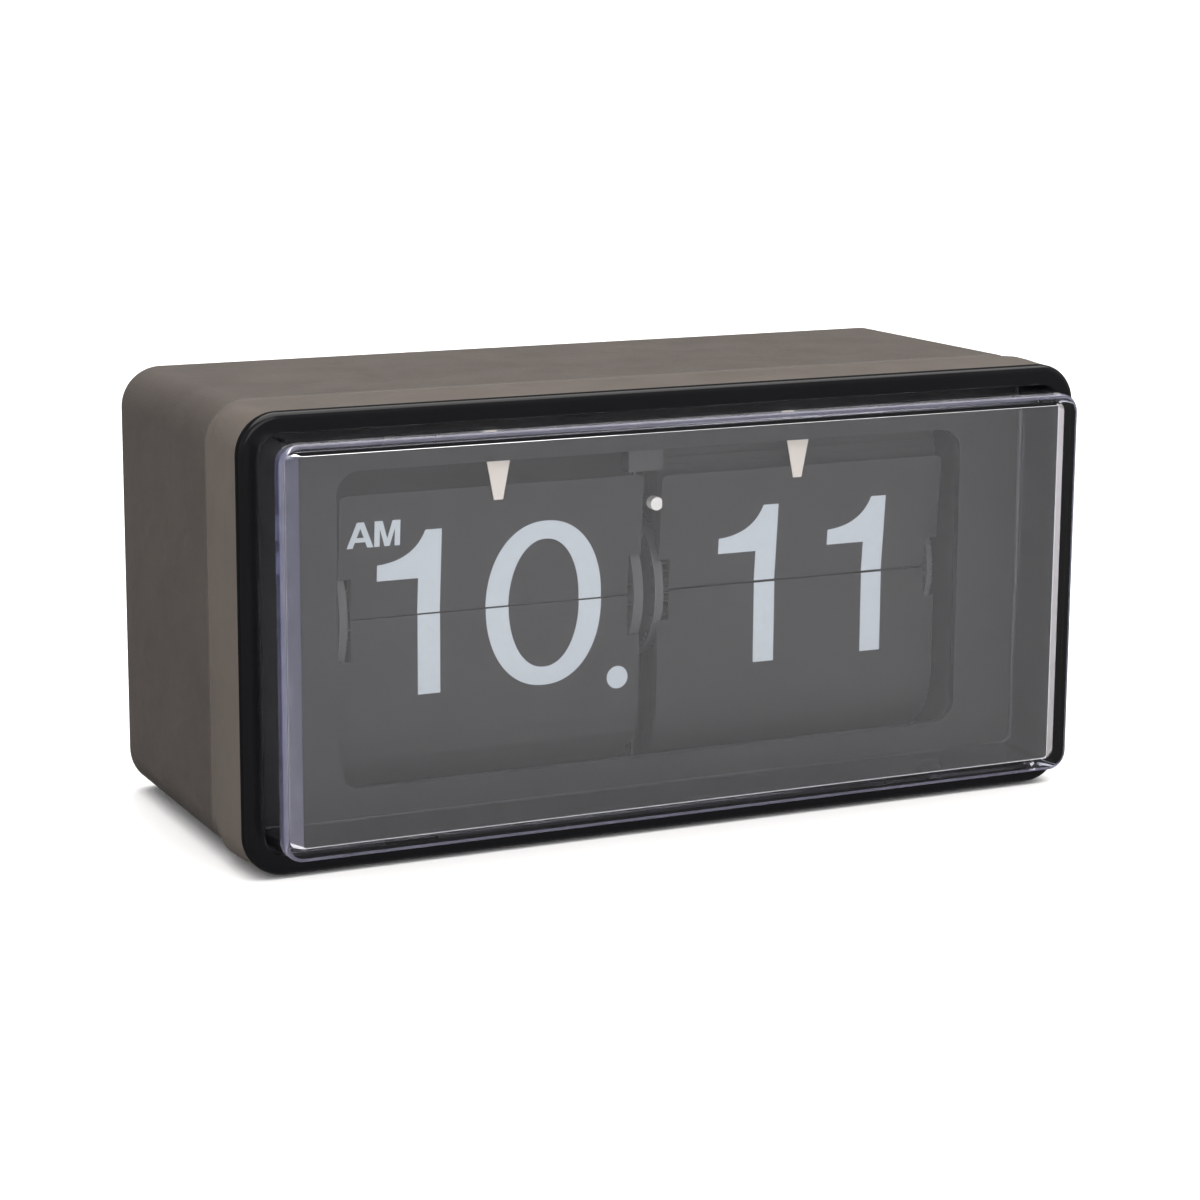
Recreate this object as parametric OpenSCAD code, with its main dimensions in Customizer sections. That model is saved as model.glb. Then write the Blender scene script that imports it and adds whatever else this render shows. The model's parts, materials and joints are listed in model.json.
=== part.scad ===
// Table flip number clock: a boxed case with a clear front cover, and a split-leaf
// hour drum and minute drum that turn on one horizontal axis.
// Frame: +X to the viewer's right, +Y towards the back, +Z up, millimetres.
// Origin: middle of the clock's footprint, on the plane that its rubber feet stand on.
// Inside the file a place is given as its depth behind the bezel's front face.

/* [Case] */
// Width of the case
case_w = 210; // [205:1:225]
// Height of the case without its feet
case_h = 102.2; // [100:0.2:110]
// Depth of the case from the bezel's front face to the back
case_d = 87.4; // [87:0.2:95]
// Narrowing of the rear shell towards the back, on each side and on top
shell_draft = 0.64; // [0:0.02:1]
// Corner radius of the rear shell
shell_r = 9.5; // [8:0.5:11]
// Wall thickness of the shell and band
wall = 2.4; // [2:0.1:2.6]
// Depth of the glossy bezel's visible rim
bezel_d = 2.7; // [2:0.1:3.5]
// Depth at which the front band meets the rear shell
seam_d = 22.7; // [21:0.1:24]
// How far the feet stand below the case
foot_proud = 0.5; // [0.4:0.1:1]

/* [Clear cover] */
// Width of the cover at its front
cover_w = 199; // [197:0.5:200]
// Height of the cover at its front
cover_h = 91; // [90:0.5:92]
// How far the cover stands in front of the bezel
cover_proud = 10.2; // [9:0.2:12]
// Wall thickness of the cover
cover_t = 2.2; // [1.8:0.1:2.4]
// Growth of the cover from front to base, on each side
cover_draft = 0.5; // [0.3:0.1:0.6]

/* [Dial plate] */
// Depth of the dial plate's front face
dial_d = 13.8; // [13:0.1:14]
// Thickness of the dial plate
dial_t = 2; // [1.5:0.1:2]
// Width of the aperture
aperture_w = 159.8; // [159:0.1:162]
// Height of the aperture
aperture_h = 72.3; // [70:0.1:74]
// Sideways offset of the aperture from the middle of the case
aperture_x = 1.7; // [1:0.1:2]
// Height of the aperture's middle above the underside of the case
aperture_z = 50; // [49:0.1:51]

/* [Drums] */
// Depth of the drum axis
axis_d = 39.5; // [39.4:0.1:39.7]
// Height of the drum axis above the underside of the case
axis_z = 50.8; // [50.5:0.1:51.1]
// Radius of the circle of leaf hinges
hinge_r = 17.4; // [17.3:0.1:17.5]
// Number of minute leaves
minute_count = 60; // [60:60]
// Number of hour leaves
hour_count = 24; // [24:24]
// Radius of a leaf's hinge pin
pin_r = 0.3; // [0.25:0.01:0.32]
// Radial clearance of running pins and shafts
running = 0.04; // [0.02:0.01:0.08]

/* [Minute drum] */
// Left edge of the minute leaves
minute_x0 = 4.7; // [4.6:0.1:5]
// Right edge of the minute leaves
minute_x1 = 80.2; // [79.8:0.1:80.4]
// Length of a minute leaf from its hinge
minute_len = 26.8; // [26:0.1:26.8]
// Thickness of a minute leaf
minute_t = 0.08; // [0.06:0.01:0.08]
// Radius of the minute discs
minute_disc_r = 18.4; // [18.2:0.1:18.4]
// Reach of a minute leaf past its hinge
minute_ext = 0.66; // [0.5:0.02:0.66]
// How far the upper minute leaf leans forward at rest, in degrees
minute_lean = 5; // [3:0.5:5]
// How far the minute drum stands turned past the level of the axis, in degrees
minute_turn = 1.6; // [0:0.1:2]

/* [Hour drum] */
// Left edge of the hour leaves
hour_x0 = -75.1; // [-75.2:0.1:-74.6]
// Right edge of the hour leaves
hour_x1 = 0.1; // [-0.2:0.1:0.1]
// Length of an hour leaf from its hinge
hour_len = 26.5; // [26:0.1:26.5]
// Thickness of an hour leaf
hour_t = 0.25; // [0.2:0.01:0.28]
// Radius of the hour discs
hour_disc_r = 19.2; // [18.8:0.1:19.2]
// Reach of an hour leaf past its hinge
hour_ext = 2.12; // [1.8:0.02:2.12]
// How far the upper hour leaf leans forward at rest, in degrees
hour_lean = 4.5; // [3:0.5:4.5]

/* [Gear train] */
// Gear module
gear_m = 0.5; // [0.5:0.5]
// Teeth of the minute gear
minute_teeth = 60; // [60:60]
// Teeth of the idler's pinion, of its wheel and of the setting gear
pinion_teeth = 12; // [12:12]
wheel_teeth = 40; // [40:40]
// Teeth of the motor's pinion
motor_teeth = 10; // [10:10]
// Radius of the finger wheel that sets the time
setting_r = 15; // [14.9:0.1:15.5]

/* [Hidden] */
$fn = 64;

wheel_proud = 2;
setting_d = case_d + wheel_proud - setting_r;
total_d = cover_proud + case_d + wheel_proud;
front_y = -total_d / 2 + cover_proud;
base_z = foot_proud;
mid_z = base_z + case_h / 2;
drum_z = base_z + axis_z;
minute_step = 360 / minute_count;
hour_step = 360 / hour_count;
band_colour = "#6f6860";
dark = "#2b2b2d";
nylon = "#d8d8d4";

// Clear dimensions inside the case.
inner_w = case_w - 2 * wall;
inner_h = case_h - 2 * wall;
back_d = case_d - wall;

// Opening in the bezel, and the cover's base that stands in it.
cover_base_w = cover_w + 2 * cover_draft;
cover_base_h = cover_h + 2 * cover_draft;
cover_gap = 0.35;
cover_r = 4.5;

// Leaves: their edges step in beside the discs.
notch_w = 3;
pin_len = 2.6;
pin_gap = 0.1;
leaf_corner = 1.5;
hinge_ear = 0.5;

// Frame plates, left to right.
plate_t = 1.5;
left_plate_x = -78.6;
centre_plate_x = 1.15;
centre_plate_t = 0.7;
right_plate_x = 83.6;
gear_plate_x = 91.2;
gear_plate_t = 1.2;
plate_d0 = 17;
plate_d1 = 78;
plate_z0 = base_z + 5;
plate_z1 = base_z + 97;
block_x0 = -5.2;
block_x1 = 3.7;
block_z0 = base_z + 80.7;
bar_r = 1.8;
bar_places = [[24, base_z + 94.5], [24, base_z + 8.2], [66, base_z + 88], [58.7, base_z + 9.8]];

// Catch tongues: each one's place along X and the depth of its back.
hour_tongue_at = [-36.8, 19.95];
minute_tongue_at = [40.2, 19.7];
tongue_t = 0.2;
rail_z0 = base_z + 86.4;
rail_z1 = base_z + 89.8;

// Shafts and gears: each gear's centre as [depth, height].
shaft_r = 1.5;
arbor_r = 1;
idler_angle = -14.8;
motor_angle = -115;
minute_at = [axis_d, drum_z];
idler_at = minute_at + gear_m * (minute_teeth + pinion_teeth) / 2 * [cos(idler_angle), sin(idler_angle)];
setting_at = [setting_d, idler_at[1] + sqrt(pow(gear_m * wheel_teeth, 2) - pow(setting_d - idler_at[0], 2))];
motor_at = idler_at + gear_m * (wheel_teeth + motor_teeth) / 2 * [cos(motor_angle), sin(motor_angle)];
minute_gear_x = 86.4;
minute_gear_w = 2;
wheel_x = 89;
wheel_w = 1.4;
setting_x0 = 93.2;
setting_x1 = 100;

// Battery bay, low in the middle of the back.
cell_r = 7.2;
cell_len = 50;
cell_d = case_d - 11.4;
cell_z = base_z + 16;
bay_w = 60;
bay_h = 20;
bay_d = case_d - 20.8;
bay_wall = 1.6;
door_w = 66;
door_z0 = base_z + 4.5;
door_z1 = base_z + 28.5;
door_t = 1.4;
door_gap = 0.3;
hinge_in = 1.2;
door_pin_r = 0.7;

screw_places = [for (x = [-1, 1], z = [-1, 1]) [x * (case_w / 2 - 9.5), mid_z + z * (case_h / 2 - 9.5)]];
screw_deep = 12;
foot_places = [for (x = [-85, 85], d = [14, 70]) [x, d]];

function at_depth(d) = front_y + d;

// Angle about the drum axis of leaf number i, from straight ahead, upwards over the top.
function leaf_angle(i, step, turn) = step * (i + 0.5) + turn;
// Direction in which the leaf at angle a points: the upper ones stand, those past fan_from fan out,
// and from there on they lie back against the discs until they hang straight down.
fan_from = 50;
rest_on_disc = 82;
function leaf_direction(a, standing) = min(270, a + rest_on_disc, standing + 1.5 * max(0, a - fan_from));

// Phase of a gear of n2 teeth that meshes with one of n teeth lying in direction a from it.
function mesh_phase(phase, n, a, n2) = a + 180 + (a - phase) * n / n2 + 180 / n2;
idler_phase = mesh_phase(0, minute_teeth, idler_angle, pinion_teeth);
wheel_phase = 0;
setting_dir = atan2(setting_at[1] - idler_at[1], setting_at[0] - idler_at[0]);

module rounded_rect(w, h, r) {
    square([w - 2 * r, h], center = true);
    square([w, h - 2 * r], center = true);
    for (x = [-1, 1], y = [-1, 1])
        translate([x * (w / 2 - r), y * (h / 2 - r)]) circle(r);
}

// A rounded rectangle facing the front, from depth d0 to depth d1.
module slab(w, h, r, d0, d1, x = 0, z = mid_z) {
    translate([x, at_depth(d1), z]) rotate([90, 0, 0]) linear_extrude(d1 - d0) rounded_rect(w, h, r);
}

// A rod along X.
module rod_x(r, x0, x1, at) {
    translate([x0, at_depth(at[0]), at[1]]) rotate([0, 90, 0]) cylinder(r = r, h = x1 - x0);
}

// A rod along Y.
module rod_y(r, d0, d1, x, z) {
    translate([x, at_depth(d1), z]) rotate([90, 0, 0]) cylinder(r = r, h = d1 - d0);
}

module box(x0, x1, d0, d1, z0, z1) {
    translate([x0, at_depth(d0), z0]) cube([x1 - x0, d1 - d0, z1 - z0]);
}

// Draws its 2D child in the plane of depth and height, x0 to x0 + w along X.
module plate_x(x0, w) {
    translate([x0, front_y, 0]) rotate([90, 0, 90]) linear_extrude(w) children();
}

// ---- case ----

// Outer form of the rear shell: a small step at the seam, a draft, and a back edge rounded in steps.
module shell_body() {
    edge = 2;
    seam_step = 0.25;
    back_z = mid_z - shell_draft / 2;
    hull() {
        slab(case_w - 2 * seam_step, case_h - 2 * seam_step, shell_r - seam_step, seam_d, seam_d + 0.02);
        slab(case_w, case_h, shell_r, seam_d + seam_step, seam_d + seam_step + 0.02);
        back_slab(0, case_d - edge, back_z);
    }
    for (a = [0, 30, 60])
        hull() {
            back_slab(edge * (1 - cos(a)), case_d - edge + edge * sin(a), back_z);
            back_slab(edge * (1 - cos(a + 30)), case_d - edge + edge * sin(a + 30), back_z);
        }
}

// A thin section of the shell's back, drawn in by inset, that ends at depth d.
module back_slab(inset, d, z) {
    w = case_w - 2 * shell_draft - 2 * inset;
    h = case_h - shell_draft - 2 * inset;
    slab(w, h, shell_r - inset, d - 0.02, d, 0, z);
}

module rear_shell() {
    post_r = 4;
    color(band_colour) difference() {
        union() {
            difference() {
                shell_body();
                slab(inner_w, inner_h, shell_r - wall, seam_d - 1, back_d);
            }
            for (p = screw_places)
                intersection() {
                    rod_y(post_r + 1, 25.2, case_d - 1, p[0], p[1]);
                    slab(case_w - 2, case_h - 2, shell_r - 1, 25.2, case_d - 1);
                }
            for (p = board_screw_places)
                rod_y(2.2, board_d + 1.6, back_d + 0.5, p[0], p[1]);
            box(-door_w / 2 - 3, door_w / 2 + 3, case_d - 4, back_d + 0.5, door_z0 - 2, door_z0 + 4);
            box(-bay_w / 2 - bay_wall, bay_w / 2 + bay_wall, bay_d - bay_wall, back_d + 0.5,
                cell_z - bay_h / 2 - bay_wall, cell_z + bay_h / 2 + bay_wall);
        }
        for (p = screw_places) {
            rod_y(1.5, 20, case_d + 1, p[0], p[1]);
            rod_y(3, case_d - screw_deep, case_d + 1, p[0], p[1]);
        }
        box(-bay_w / 2, bay_w / 2, bay_d, case_d + 1, cell_z - bay_h / 2, cell_z + bay_h / 2);
        box(-door_w / 2 - door_gap, door_w / 2 + door_gap, case_d - door_t - door_gap, case_d + 1,
            door_z0 - door_gap, door_z1 + door_gap);
        box(-4, 4, case_d - door_t - 0.6, case_d + 1, door_z1, door_z1 + 3.2);
        rod_x(door_pin_r + running, -door_w / 2 - 2, door_w / 2 + 2, [case_d - hinge_in, door_z0 + hinge_in]);
        rod_x(hinge_in + door_gap, -door_w / 2 - door_gap, door_w / 2 + door_gap,
            [case_d - hinge_in, door_z0 + hinge_in]);
        rod_x(setting_r + 0.9, setting_x0 - 0.8, setting_x1 + 0.8, setting_at);
        for (p = board_screw_places)
            rod_y(1, board_d, back_d, p[0], p[1]);
        for (p = foot_places)
            translate([p[0], at_depth(p[1]), base_z - 1]) cylinder(r = 5.05, h = 1.6);
    }
}

// Outer form of the front band: each row is a depth, a corner radius and how far it lies inside the shell.
module band_body() {
    profile = [[seam_d, 9.5, 0.2], [20, 9, 0.1], [17, 7.3, 0], [13, 7.6, 0], [6, 9, 0], [bezel_d, 9.3, 0]];
    for (i = [0 : len(profile) - 2])
        hull() {
            a = profile[i];
            b = profile[i + 1];
            slab(case_w - 2 * a[2], case_h - 2 * a[2], a[1], a[0] - 0.01, a[0]);
            slab(case_w - 2 * b[2], case_h - 2 * b[2], b[1], b[0], b[0] + 0.01);
        }
}

module front_band() {
    lip_gap = 0.15;
    color(band_colour) difference() {
        union() {
            difference() {
                band_body();
                slab(inner_w, inner_h, 7, 0, seam_d + 1);
            }
            difference() {
                slab(inner_w - 2 * lip_gap, inner_h - 2 * lip_gap, 7, seam_d - 3, seam_d + 2);
                slab(inner_w - 4, inner_h - 4, 5, seam_d - 4, seam_d + 3);
            }
            difference() {
                slab(inner_w + 1, inner_h + 1, 7, 16.2, seam_d - 2);
                slab(inner_w - 4, inner_h - 4, 5, 15, seam_d);
            }
            for (p = screw_places)
                intersection() {
                    rod_y(8, 16.2, 24.9, p[0], p[1]);
                    slab(inner_w - 2 * lip_gap, inner_h - 2 * lip_gap, 7, 16, 25);
                }
        }
        for (p = screw_places)
            rod_y(1.25, 17.5, 26, p[0], p[1]);
        for (p = foot_places)
            translate([p[0], at_depth(p[1]), base_z - 1]) cylinder(r = 5.05, h = 1.6);
    }
}

module bezel_ring() {
    edge = 1.2;
    color("#101113") difference() {
        union() {
            slab(case_w, case_h, 9.3, edge, bezel_d);
            hull() {
                slab(case_w, case_h, 9.3, edge, edge + 0.02);
                slab(case_w - 0.8, case_h - 0.8, 9, 0.35, 0.37);
                slab(case_w - 2.2, case_h - 2.2, 8.4, 0, 0.02);
            }
            slab(inner_w - 0.3, inner_h - 0.3, 6.8, bezel_d - 0.5, dial_d - 0.1);
        }
        slab(cover_base_w + 2 * cover_gap, cover_base_h + 2 * cover_gap, cover_r + cover_gap, -1, dial_d + 1);
    }
}

module clear_cover() {
    edge = 0.8;
    color("#b8c0d8", 0.35) union() {
        difference() {
            hull() {
                slab(cover_w - 2 * edge, cover_h - 2 * edge, cover_r - edge, -cover_proud, -cover_proud + 0.02);
                slab(cover_w - 0.5, cover_h - 0.5, cover_r - 0.25, -cover_proud + 0.25, -cover_proud + 0.27);
                slab(cover_w, cover_h, cover_r, -cover_proud + edge, -cover_proud + edge + 0.02);
                slab(cover_base_w, cover_base_h, cover_r, dial_d - 0.12, dial_d - 0.1);
            }
            hull() {
                slab(cover_w - 2 * cover_t, cover_h - 2 * cover_t, cover_r - cover_t,
                    -cover_proud + cover_t, -cover_proud + cover_t + 0.02);
                slab(cover_base_w - 2 * cover_t, cover_base_h - 2 * cover_t, cover_r - cover_t, dial_d, dial_d + 1);
            }
        }
        for (x = clip_places, s = [-1, 1])
            box(x - 6, x + 6, dial_d - 3, dial_d + dial_t + 1.5,
                mid_z + s * (cover_base_h / 2 - 0.9) - 0.6, mid_z + s * (cover_base_h / 2 - 0.9) + 0.6);
    }
}
clip_places = [-64, 64];

module dial_plate() {
    color(dark) difference() {
        slab(inner_w - 0.6, inner_h - 0.6, 6.6, dial_d, dial_d + dial_t);
        slab(aperture_w, aperture_h, 5.5, dial_d - 1, dial_d + dial_t + 1, aperture_x, base_z + aperture_z);
        for (x = clip_places, s = [-1, 1])
            box(x - 6.4, x + 6.4, dial_d - 1, dial_d + dial_t + 1,
                mid_z + s * (cover_base_h / 2 - 0.9) - 0.9, mid_z + s * (cover_base_h / 2 - 0.9) + 0.9);
        for (p = bracket_places)
            rod_y(1, dial_d + 0.8, dial_d + dial_t + 1, p[0], p[1]);
    }
}
bracket_heights = [base_z + 26, base_z + 74];
bracket_places = [for (x = [left_plate_x - 5, right_plate_x + plate_t + 5], z = bracket_heights) [x, z]];

module rubber_feet() {
    color("#1a1a1a") for (p = foot_places)
        translate([p[0], at_depth(p[1]), 0]) cylinder(r = 5, h = foot_proud + 0.6);
}

module case_screws() {
    color("silver") for (p = screw_places)
        difference() {
            union() {
                rod_y(1.2, 18, case_d - screw_deep + 1, p[0], p[1]);
                rod_y(2.6, case_d - screw_deep, case_d - screw_deep + 2, p[0], p[1]);
            }
            translate([p[0] - 0.4, at_depth(case_d - screw_deep + 1.2), p[1] - 1.6]) cube([0.8, 2, 3.2]);
            translate([p[0] - 1.6, at_depth(case_d - screw_deep + 1.2), p[1] - 0.4]) cube([3.2, 2, 0.8]);
        }
}

// ---- battery ----

module battery_door() {
    color(band_colour) difference() {
        union() {
            box(-door_w / 2, door_w / 2, case_d - door_t, case_d, door_z0 + hinge_in, door_z1);
            rod_x(hinge_in, -door_w / 2, door_w / 2, [case_d - hinge_in, door_z0 + hinge_in]);
            rod_x(door_pin_r, -door_w / 2 - 1.8, door_w / 2 + 1.8, [case_d - hinge_in, door_z0 + hinge_in]);
            box(-3.6, 3.6, case_d - door_t, case_d - 0.4, door_z1 - 1, door_z1 + 2.6);
        }
        for (i = [0 : 4])
            box(-6, 6, case_d - 0.4, case_d + 1, door_z1 - 3 - 1.4 * i, door_z1 - 2.4 - 1.4 * i);
    }
}

module battery() {
    color("#b9852c") union() {
        rod_x(cell_r, -cell_len / 2, cell_len / 2 - 1.2, [cell_d, cell_z]);
        rod_x(2.6, cell_len / 2 - 1.5, cell_len / 2, [cell_d, cell_z]);
    }
}

module battery_contacts() {
    color("silver") for (s = [-1, 1])
        box(s * (bay_w / 2 - 0.25) - 0.2, s * (bay_w / 2 - 0.25) + 0.2, cell_d - 5, cell_d + 5, cell_z - 6, cell_z + 6);
    color("silver")
        box(cell_len / 2 + 0.05, bay_w / 2 - 0.3, cell_d - 1.5, cell_d + 1.5, cell_z - 1.5, cell_z + 1.5);
}

// Coil along X, as one swept tube.
module coil_x(x0, x1, r0, r1, wire_r, turns, at) {
    rings = 16 * turns;
    sides = 8;
    function ring(i) = let (t = i / rings, a = 360 * turns * t, r = r0 + (r1 - r0) * t)
        [for (j = [0 : sides - 1]) let (b = 360 * j / sides, q = r + wire_r * cos(b))
            [x0 + (x1 - x0) * t + wire_r * sin(b), at_depth(at[0]) + q * cos(a), at[1] + q * sin(a)]];
    points = [for (i = [0 : rings]) each ring(i)];
    sides_faces = [for (i = [0 : rings - 1], j = [0 : sides - 1])
        let (k = (j + 1) % sides) [i * sides + j, i * sides + k, (i + 1) * sides + k, (i + 1) * sides + j]];
    caps = [[for (j = [sides - 1 : -1 : 0]) j], [for (j = [0 : sides - 1]) rings * sides + j]];
    polyhedron(points, concat(sides_faces, caps), convexity = 6);
}

module battery_spring() {
    color("silver") coil_x(-bay_w / 2 + 0.8, -cell_len / 2 - 0.35, 4.5, 2.2, 0.3, 3, [cell_d, cell_z]);
}

// ---- movement frame ----

module side_outline() {
    difference() {
        translate([plate_d0, plate_z0]) square([plate_d1 - plate_d0, plate_z1 - plate_z0]);
        for (p = bar_places)
            translate(p) circle(bar_r);
    }
}

module left_side_plate() {
    color("#8a8d90") plate_x(left_plate_x, plate_t) difference() {
        side_outline();
        translate(minute_at) circle(shaft_r + 0.5);
        for (z = [-26, 26])
            translate(minute_at + [6, z]) circle(7);
    }
}

module centre_plate() {
    color("#3a3b3d") union() {
        plate_x(centre_plate_x, centre_plate_t) difference() {
            union() {
                translate([28, plate_z0]) square([33.2, plate_z1 - plate_z0]);
                translate([plate_d0 + 2, block_z0 + 0.3]) square([10, plate_z1 - block_z0 - 0.3]);
            }
            translate(minute_at) circle(shaft_r + running);
            translate(lever_at) circle(1 + running);
            translate(ratchet_window) square([5, 5]);
            for (i = [0, 3])
                translate(bar_places[i]) circle(bar_r + running);
        }
        box(block_x0, block_x1, plate_d0 + 0.5, 20.8, block_z0, base_z + 88.6);
    }
}
lever_at = [axis_d + 12.2, drum_z + 21];
ratchet_window = [axis_d + 8.5, drum_z + 4.6];

module right_side_plate() {
    color("#8a8d90") plate_x(right_plate_x, plate_t) difference() {
        side_outline();
        translate(minute_at) circle(shaft_r + running);
        translate(idler_at) circle(arbor_r + running);
        translate(setting_at) circle(arbor_r + running);
    }
}

module gear_plate() {
    post_places = [[axis_d - 5.8, base_z + 71], [axis_d - 3.8, base_z + 20]];
    color("#8a8d90") union() {
        plate_x(gear_plate_x, gear_plate_t) difference() {
            union() {
                translate([axis_d - 8.8, base_z + 15.2]) square([34, 58.8]);
                translate([axis_d + 6, setting_at[1] - 6]) square([setting_d - axis_d + 2, 12]);
            }
            translate(minute_at) circle(shaft_r + running);
            translate(idler_at) circle(arbor_r + running);
            translate(setting_at) circle(arbor_r + running);
            translate(motor_at) circle(1.5);
            for (p = motor_screw_places)
                translate(p) circle(1);
        }
        for (p = post_places)
            rod_x(2, right_plate_x + plate_t, gear_plate_x + 0.2, p);
    }
}

module tie_bars() {
    color("silver") for (p = bar_places)
        rod_x(bar_r - running, left_plate_x - 1, right_plate_x + plate_t + 1, p);
}

// Angle brackets between the dial plate and the side plates.
module frame_brackets() {
    d0 = dial_d + dial_t;
    color("#8a8d90") for (side = [0, 1], z = bracket_heights) {
        inner = side == 0 ? left_plate_x : right_plate_x + plate_t;
        out = side == 0 ? -1 : 1;
        difference() {
            union() {
                box(min(inner, inner + out * 9), max(inner, inner + out * 9), d0, d0 + 1.2, z - 5, z + 5);
                box(min(inner, inner + out * 1.2), max(inner, inner + out * 1.2), d0, d0 + 9, z - 5, z + 5);
            }
            rod_y(1, d0 - 1, d0 + 3, inner + out * 5, z);
        }
    }
}

module bracket_screws() {
    color("silver") for (p = bracket_places)
        union() {
            rod_y(0.96, dial_d + 0.9, dial_d + dial_t + 1.3, p[0], p[1]);
            rod_y(1.9, dial_d + dial_t + 1.2, dial_d + dial_t + 2.6, p[0], p[1]);
        }
}

// Two rails, one for each drum, that carry the catch tongues.
module tongue_rail() {
    color("#3a3b3d") union() {
        box(left_plate_x + plate_t, block_x0, hour_tongue_at[1], hour_tongue_at[1] + 1.2, rail_z0, rail_z1);
        box(block_x1, right_plate_x, minute_tongue_at[1], minute_tongue_at[1] + 1.2, rail_z0, rail_z1);
    }
}

// One springy strip that holds the top edge of a front leaf; at is its place along X and its back's depth.
module catch_tongue(at) {
    tip = base_z + 76.2;
    half = 3.1;
    color("#e9e5da") translate([at[0], at_depth(at[1]), 0]) rotate([90, 0, 0]) linear_extrude(tongue_t)
        polygon([[-1.1, tip], [1.1, tip], [half, rail_z0], [half, rail_z1], [-half, rail_z1], [-half, rail_z0]]);
}

module hour_catch_tongue() { catch_tongue(hour_tongue_at); }
module minute_catch_tongue() { catch_tongue(minute_tongue_at); }

module tongue_rivets() {
    color("silver") for (at = [hour_tongue_at, minute_tongue_at], s = [-1, 1])
        rod_y(0.7, at[1] - tongue_t - 0.4, at[1] - tongue_t, at[0] + s * 2, base_z + 88.2);
}

// ---- drums ----

// A leaf lying in the plane of X and its own length, hinge pin along X at the origin.
module leaf(x0, x1, length, thick, reach, notch_h) {
    hinge_x0 = x0 + notch_w;
    hinge_x1 = x1 - notch_w;
    function corner(cx, cy, a0) = [for (a = [0, 30, 60, 90])
        [cx + leaf_corner * cos(a0 + a), cy + leaf_corner * sin(a0 + a)]];
    union() {
        rotate([90, 0, 0]) linear_extrude(thick, center = true) polygon(concat(
            [[hinge_x0, -reach], [hinge_x1, -reach], [hinge_x1, -pin_r / 2], [hinge_x1 + hinge_ear, -pin_r / 2],
                [hinge_x1 + hinge_ear, pin_r / 2], [hinge_x1, pin_r / 2], [hinge_x1, notch_h], [x1, notch_h]],
            corner(x1 - leaf_corner, length - leaf_corner, 0),
            corner(x0 + leaf_corner, length - leaf_corner, 90),
            [[x0, notch_h], [hinge_x0, notch_h], [hinge_x0, pin_r / 2], [hinge_x0 - hinge_ear, pin_r / 2],
                [hinge_x0 - hinge_ear, -pin_r / 2], [hinge_x0, -pin_r / 2]]));
        for (x = [hinge_x0 - pin_gap - pin_len, hinge_x1 + pin_gap])
            translate([x, 0, 0]) rotate([0, 90, 0]) cylinder(r = pin_r, h = pin_len, $fn = 24);
    }
}

// Puts a leaf on the drum as number i, pointing in a direction: 0 is the upper front leaf.
module on_drum(i, step, turn, direction) {
    a = leaf_angle(i, step, turn);
    translate([0, at_depth(axis_d) - hinge_r * cos(a), drum_z + hinge_r * sin(a)])
        rotate([90 - direction, 0, 0]) children();
}

module minute_leaf() {
    leaf(minute_x0, minute_x1, minute_len, minute_t, minute_ext, 6.4);
}

module hour_leaf() {
    leaf(hour_x0, hour_x1, hour_len, hour_t, hour_ext, 7.3);
}

// The leaves behind the front one stand so that one step of the drum brings the next into its place.
module minute_leaves() {
    standing = 90 + minute_step - minute_lean;
    color(dark) for (i = [1 : minute_count - 1])
        on_drum(i, minute_step, minute_turn,
            leaf_direction(leaf_angle(i, minute_step, minute_turn), standing)) minute_leaf();
}

module minute_flap() {
    color(dark) on_drum(0, minute_step, minute_turn, 90 - minute_lean) minute_leaf();
}

module hour_leaves() {
    standing = 90 + hour_step - hour_lean;
    color(dark) for (i = [1 : hour_count - 1])
        on_drum(i, hour_step, 0, leaf_direction(leaf_angle(i, hour_step, 0), standing)) hour_leaf();
}

module hour_flap() {
    color(dark) on_drum(0, hour_step, 0, 90 - hour_lean) hour_leaf();
}

// Where the discs of each drum start and end along X.
minute_left_disc = [minute_x0 - 1, minute_x0 + 1.2];
minute_right_disc = [minute_x1 - 2.6, minute_x1 - 1.2];
hour_left_disc = [hour_x0 - 0.2, hour_x0 + 1.7];
hour_right_disc = [hour_x1 - 2.3, hour_x1 + 0.15];

// A drum disc with one pin hole for each leaf.
module drum_disc(span, r, count, turn) {
    color("#46474a") plate_x(span[0], span[1] - span[0]) difference() {
        translate(minute_at) circle(r, $fn = 120);
        translate(minute_at) circle(hub_core);
        for (i = [0 : count - 1]) {
            a = leaf_angle(i, 360 / count, turn);
            translate(minute_at + hinge_r * [-cos(a), sin(a)]) circle(pin_r + running, $fn = 24);
        }
    }
}

hub_r = 8;
hub_core = 4;

module minute_disc_left() { drum_disc(minute_left_disc, minute_disc_r, minute_count, minute_turn); }
module minute_disc_right() { drum_disc(minute_right_disc, minute_disc_r, minute_count, minute_turn); }
module hour_disc_left() { drum_disc(hour_left_disc, hour_disc_r, hour_count, 0); }
module hour_disc_right() { drum_disc(hour_right_disc, hour_disc_r, hour_count, 0); }

// A hub tube between two discs, whose ends pass through their bores; tail is the right end's reach.
module drum_hub(left, right, bore, tail) {
    color("#48494c") difference() {
        union() {
            rod_x(hub_r, left[1], right[0], minute_at);
            rod_x(hub_core, left[0] - 0.3, right[1] + tail, minute_at);
        }
        rod_x(bore, left[0] - 1, right[1] + tail + 1, minute_at);
    }
}

module minute_hub() { drum_hub(minute_left_disc, minute_right_disc, shaft_r, 0.4); }
module hour_hub() { drum_hub(hour_left_disc, hour_right_disc, shaft_r + running, 0.75); }

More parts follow.
